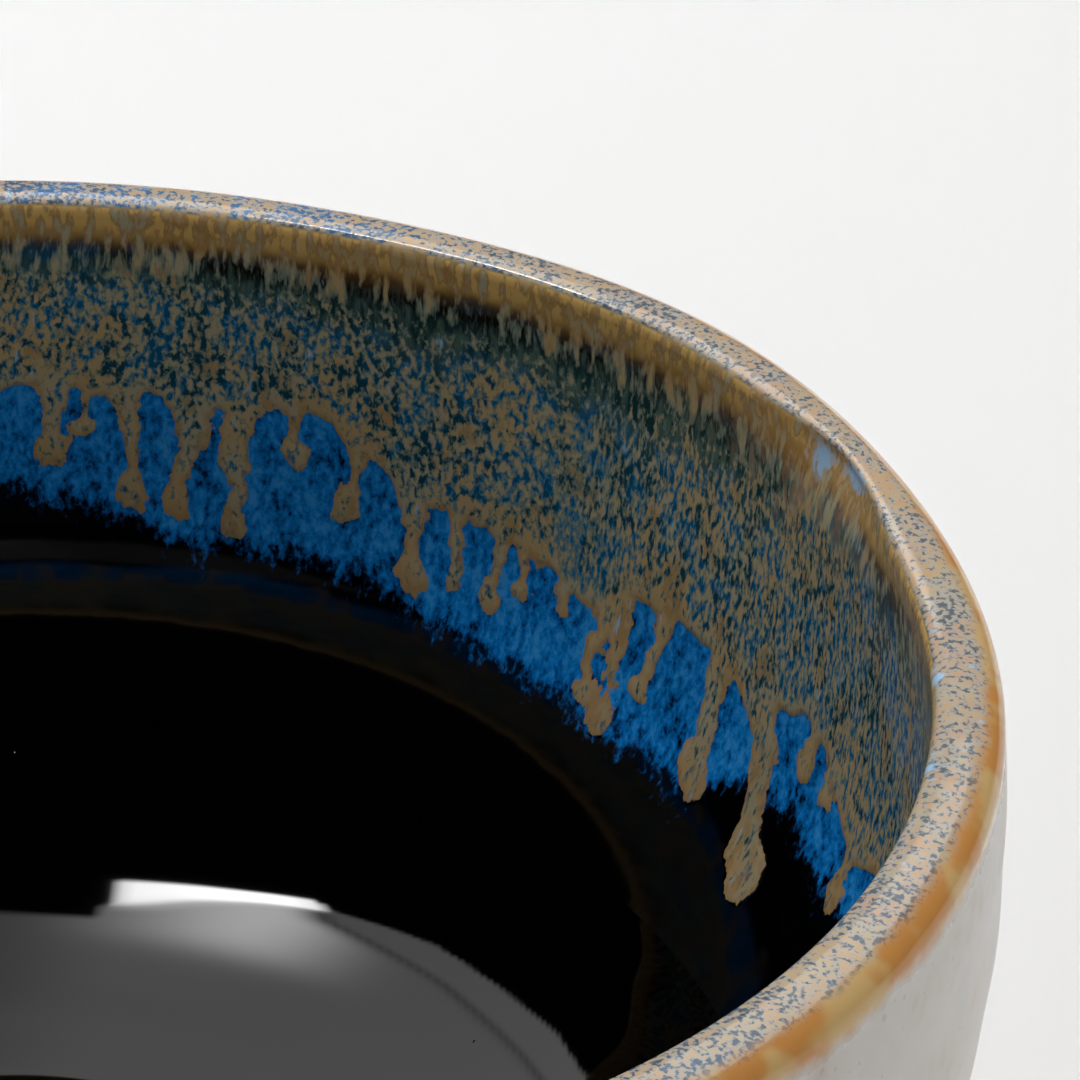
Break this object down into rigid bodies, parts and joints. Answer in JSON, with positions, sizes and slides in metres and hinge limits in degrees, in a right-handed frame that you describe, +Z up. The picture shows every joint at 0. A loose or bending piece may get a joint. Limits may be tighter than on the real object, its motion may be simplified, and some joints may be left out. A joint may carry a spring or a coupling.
{
  "type": "tea bowl",
  "caption": "Deep round matcha bowl with a thick rounded rim, a small pinched pouring lip, layered running glaze inside and a low foot ring to stand on.",
  "frame": {"origin": "centre of the foot ring's resting plane", "axes": "+Z up along the bowl's axis; the pouring lip points between +X and +Y, about 42 to 61 degrees from +Y towards +X"},
  "size_m": [0.1262, 0.1214, 0.068],
  "materials": {
    "stoneware": "unglazed fired clay, matt and slightly gritty",
    "black_glaze": "deep gloss black glaze",
    "blue_glaze": "gloss mottled cobalt glaze fading to black at its lower edge",
    "tan_glaze": "gloss tan glaze broken by navy flecks, amber at its edges",
    "pale_glaze": "satin warm grey-white glaze"
  },
  "bodies": {
    "root": {"stoneware_body": "stoneware", "foot_ring": "stoneware", "liner_glaze": "black_glaze", "blue_glaze": "blue_glaze", "rim_glaze": "tan_glaze", "glaze_runs": "tan_glaze", "outer_glaze": "pale_glaze", "base_glaze": "pale_glaze"}
  },
  "joints": []
}
